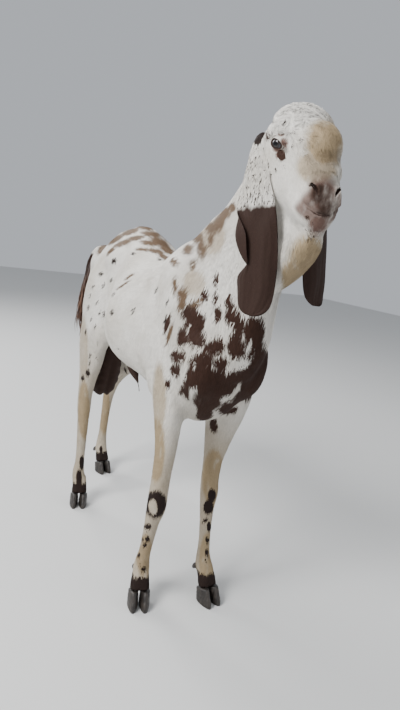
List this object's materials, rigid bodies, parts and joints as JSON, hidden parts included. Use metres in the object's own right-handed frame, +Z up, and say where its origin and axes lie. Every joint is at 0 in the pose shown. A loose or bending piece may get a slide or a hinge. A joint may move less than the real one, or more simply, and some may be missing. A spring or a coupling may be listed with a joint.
{
  "type": "makhi cheeni goat",
  "caption": "Still, life-size model of a spotted, lop-eared buck goat with a domed nose, standing on all four feet with its head turned.",
  "frame": {"origin": "middle of the goat's bounding box, on the floor under it", "axes": "+Z up, the goat faces -Y, its left side is towards +X"},
  "size_m": [0.2948, 1.1732, 1.1716],
  "materials": {
    "coat": "short white coat with brown and black spots and patches",
    "ear_coat": "white spotted root, dark brown leathery lower part",
    "eye": "wet, pale iris with a dark level pupil",
    "horn": "grey-brown ridged hoof horn",
    "tail_hair": "long coarse hair",
    "dark_skin": "thin dark skin with fine hair"
  },
  "bodies": {
    "root": {"ear_left": "ear_coat", "ear_right": "ear_coat", "eye_left": "eye", "eye_right": "eye", "fore_left_claw_inner": "horn", "fore_left_claw_outer": "horn", "fore_left_leg_lower": "coat", "fore_left_leg_upper": "coat", "fore_right_claw_inner": "horn", "fore_right_claw_outer": "horn", "fore_right_leg_lower": "coat", "fore_right_leg_upper": "coat", "head": "coat", "hind_left_claw_inner": "horn", "hind_left_claw_outer": "horn", "hind_left_leg_lower": "coat", "hind_left_leg_upper": "coat", "hind_right_claw_inner": "horn", "hind_right_claw_outer": "horn", "hind_right_leg_lower": "coat", "hind_right_leg_upper": "coat", "neck": "coat", "scrotum": "dark_skin", "sheath": "dark_skin", "tail": "tail_hair", "torso": "coat"}
  },
  "joints": []
}
